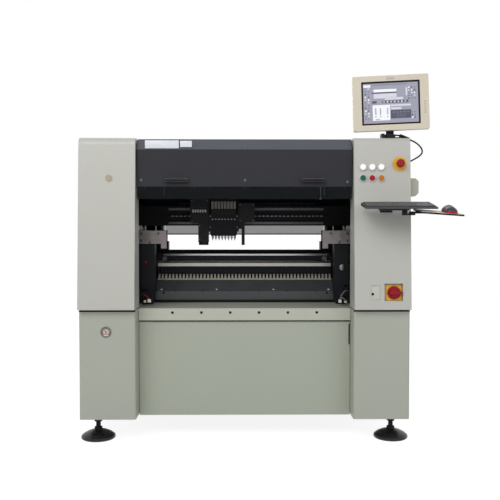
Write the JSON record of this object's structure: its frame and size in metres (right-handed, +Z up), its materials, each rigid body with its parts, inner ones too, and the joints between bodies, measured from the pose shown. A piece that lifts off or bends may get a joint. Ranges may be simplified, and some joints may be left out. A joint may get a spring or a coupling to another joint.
{
  "type": "pick and place machine",
  "caption": "Floor-standing electronics placement machine: gantry head with a row of nozzles, toothed feeder banks, board conveyor, hinged hoods, operator panel and monitor.",
  "frame": {"origin": "middle of the resting part's floor area, on the floor", "axes": "+X to the operator's right, +Y to the machine's rear, +Z up"},
  "size_m": [1.8674, 1.6853, 1.8644],
  "materials": {
    "cover_paint": "satin",
    "upper_paint": "satin",
    "frame_steel": "satin",
    "black_steel": "satin",
    "foot_rubber": "matte",
    "cast_alu": "as cast",
    "clean_alu": "brushed",
    "hood_sheet": "satin",
    "smoked_acrylic": "gloss",
    "feeder_sheet": "satin",
    "steel": "ground",
    "cream_plastic": "matte",
    "screen_glass": "satin",
    "black_plastic": "matte",
    "grey_plastic": "matte",
    "white_plastic": "gloss",
    "green_plastic": "gloss",
    "red_plastic": "gloss",
    "orange_plastic": "gloss",
    "yellow_plastic": "satin",
    "cable_jacket": "matte"
  },
  "bodies": {
    "machine": {"base_frame": "frame_steel", "levelling_feet": "foot_rubber", "left_lower_cover": "cover_paint", "right_lower_cover": "cover_paint", "lower_panels": "cover_paint", "feeder_shelves": "cover_paint", "left_upper_cover": "upper_paint", "right_upper_cover": "upper_paint", "top_cover": "upper_paint", "machine_bed": "frame_steel", "gantry_posts": "black_steel", "y_frames": "cast_alu", "feeder_bases": "black_steel", "feeder_combs": "clean_alu", "pickup_bars": "clean_alu", "feeder_covers": "feeder_sheet", "conveyor_frame": "black_steel", "conveyor_fixed_rail": "clean_alu", "button_bezels": "white_plastic", "safety_plates": "yellow_plastic", "monitor_mount": "black_plastic", "cover_fittings": "cream_plastic", "monitor_cable": "cable_jacket", "ferrite_bead": "black_plastic"},
    "front_hood": {"hood_shell": "hood_sheet", "hood_window": "smoked_acrylic"},
    "back_hood": {"rear_hood": "cover_paint"},
    "moving_rail": {"conveyor_moving_rail": "clean_alu"},
    "screw": {"width_screw": "steel"},
    "belt_drive": {"drive_shaft": "steel"},
    "table": {"push_up_table": "clean_alu"},
    "gantry": {"x_beam": "black_steel", "x_rails": "steel", "y_sliders": "steel"},
    "head": {"head_carriage": "black_steel", "head_motors": "clean_alu", "head_side_units": "black_plastic"},
    "spindle_1": {"spindle_1": "steel"},
    "spindle_2": {"spindle_2": "steel"},
    "spindle_3": {"spindle_3": "steel"},
    "spindle_4": {"spindle_4": "steel"},
    "spindle_5": {"spindle_5": "steel"},
    "spindle_6": {"spindle_6": "steel"},
    "spindle_7": {"spindle_7": "steel"},
    "spindle_8": {"spindle_8": "steel"},
    "white_button_1": {"white_button_1": "white_plastic"},
    "white_button_2": {"white_button_2": "white_plastic"},
    "white_button_3": {"white_button_3": "white_plastic"},
    "green_button": {"green_button": "green_plastic"},
    "red_button": {"red_button": "red_plastic"},
    "orange_button": {"orange_button": "orange_plastic"},
    "estop": {"estop_button": "red_plastic"},
    "main_switch": {"main_switch_knob": "red_plastic"},
    "monitor_arm": {"monitor_yoke": "steel"},
    "monitor": {"monitor_case": "cream_plastic", "monitor_screen": "screen_glass"},
    "keyboard_swing": {"keyboard_arm": "black_steel", "keyboard": "grey_plastic"},
    "tray": {"mouse_tray": "cream_plastic", "mouse": "grey_plastic"}
  },
  "joints": [
    {"name": "hood_hinge", "type": "hinge", "parent": "machine", "child": "front_hood", "pos_m": [-0.09201, -0.17175, 1.539], "axis": [-1, 0, 0], "range_deg": [0, 75]},
    {"name": "rear_hood_hinge", "type": "hinge", "parent": "machine", "child": "back_hood", "pos_m": [-0.09201, 0.37825, 1.539], "axis": [1, 0, 0], "range_deg": [0, 75]},
    {"name": "rail_width", "type": "slide", "parent": "machine", "child": "moving_rail", "axis": [0, 1, 0], "range_m": [-0.2, 0]},
    {"name": "width_screw_turn", "type": "hinge", "parent": "machine", "child": "screw", "pos_m": [0.36999, 0.09925, 0.905], "axis": [0, 1, 0], "range_deg": [-7201, 1]},
    {"name": "belt_drive_turn", "type": "hinge", "parent": "machine", "child": "belt_drive", "pos_m": [-0.55401, 0.09925, 0.905], "axis": [0, 1, 0], "continuous": true},
    {"name": "table_lift", "type": "slide", "parent": "machine", "child": "table", "axis": [0, 0, 1], "range_m": [0, 0.04]},
    {"name": "y_axis", "type": "slide", "parent": "machine", "child": "gantry", "axis": [0, 1, 0], "range_m": [-0.026, 0.336]},
    {"name": "x_axis", "type": "slide", "parent": "gantry", "child": "head", "axis": [1, 0, 0], "range_m": [-0.245, 0.5]},
    {"name": "spindle_1_drop", "type": "slide", "parent": "head", "child": "spindle_1", "axis": [0, 0, -1], "range_m": [0, 0.075], "stiffness_N_per_m": 60, "springref_m": -0.03},
    {"name": "spindle_2_drop", "type": "slide", "parent": "head", "child": "spindle_2", "axis": [0, 0, -1], "range_m": [0, 0.075], "stiffness_N_per_m": 60, "springref_m": -0.03},
    {"name": "spindle_3_drop", "type": "slide", "parent": "head", "child": "spindle_3", "axis": [0, 0, -1], "range_m": [0, 0.075], "stiffness_N_per_m": 60, "springref_m": -0.03},
    {"name": "spindle_4_drop", "type": "slide", "parent": "head", "child": "spindle_4", "axis": [0, 0, -1], "range_m": [0, 0.075], "stiffness_N_per_m": 60, "springref_m": -0.03},
    {"name": "spindle_5_drop", "type": "slide", "parent": "head", "child": "spindle_5", "axis": [0, 0, -1], "range_m": [0, 0.075], "stiffness_N_per_m": 60, "springref_m": -0.03},
    {"name": "spindle_6_drop", "type": "slide", "parent": "head", "child": "spindle_6", "axis": [0, 0, -1], "range_m": [0, 0.075], "stiffness_N_per_m": 60, "springref_m": -0.03},
    {"name": "spindle_7_drop", "type": "slide", "parent": "head", "child": "spindle_7", "axis": [0, 0, -1], "range_m": [0, 0.075], "stiffness_N_per_m": 60, "springref_m": -0.03},
    {"name": "spindle_8_drop", "type": "slide", "parent": "head", "child": "spindle_8", "axis": [0, 0, -1], "range_m": [0, 0.075], "stiffness_N_per_m": 60, "springref_m": -0.03},
    {"name": "white_button_1_press", "type": "slide", "parent": "machine", "child": "white_button_1", "axis": [0, 0.998, -0.0637], "range_m": [0, 0.004], "stiffness_N_per_m": 400, "springref_m": -0.002},
    {"name": "white_button_2_press", "type": "slide", "parent": "machine", "child": "white_button_2", "axis": [0, 0.998, -0.0637], "range_m": [0, 0.004], "stiffness_N_per_m": 400, "springref_m": -0.002},
    {"name": "white_button_3_press", "type": "slide", "parent": "machine", "child": "white_button_3", "axis": [0, 0.998, -0.0637], "range_m": [0, 0.004], "stiffness_N_per_m": 400, "springref_m": -0.002},
    {"name": "green_button_press", "type": "slide", "parent": "machine", "child": "green_button", "axis": [0, 0.998, -0.0637], "range_m": [0, 0.004], "stiffness_N_per_m": 400, "springref_m": -0.002},
    {"name": "red_button_press", "type": "slide", "parent": "machine", "child": "red_button", "axis": [0, 0.998, -0.0637], "range_m": [0, 0.004], "stiffness_N_per_m": 400, "springref_m": -0.002},
    {"name": "orange_button_press", "type": "slide", "parent": "machine", "child": "orange_button", "axis": [0, 0.998, -0.0637], "range_m": [0, 0.004], "stiffness_N_per_m": 400, "springref_m": -0.002},
    {"name": "estop_press", "type": "slide", "parent": "machine", "child": "estop", "axis": [0, 0.998, -0.0637], "range_m": [0, 0.004], "stiffness_N_per_m": 1500, "springref_m": -0.002},
    {"name": "main_switch_turn", "type": "hinge", "parent": "machine", "child": "main_switch", "pos_m": [0.65299, -0.63032, 0.759], "axis": [0, 0.998, -0.0637], "range_deg": [0, 90]},
    {"name": "monitor_pan", "type": "hinge", "parent": "machine", "child": "monitor_arm", "pos_m": [0.65599, -0.48075, 1.55], "axis": [0, 0, 1], "range_deg": [-40, 40]},
    {"name": "monitor_tilt", "type": "hinge", "parent": "monitor_arm", "child": "monitor", "pos_m": [0.65767, -0.46484, 1.717], "axis": [0.9945, -0.1045, 0], "range_deg": [-7, 7]},
    {"name": "keyboard_arm_swing", "type": "hinge", "parent": "machine", "child": "keyboard_swing", "pos_m": [0.61299, -0.64575, 1.172], "axis": [0, 0, 1], "range_deg": [-20, 20]},
    {"name": "mouse_tray_swing", "type": "hinge", "parent": "keyboard_swing", "child": "tray", "pos_m": [0.70799, -0.75075, 1.156], "axis": [0, 0, 1], "range_deg": [-45, 0]}
  ],
  "couplings": [
    {"joint": "width_screw_turn", "follows": "rail_width", "rad_per_m": 628.32}
  ]
}
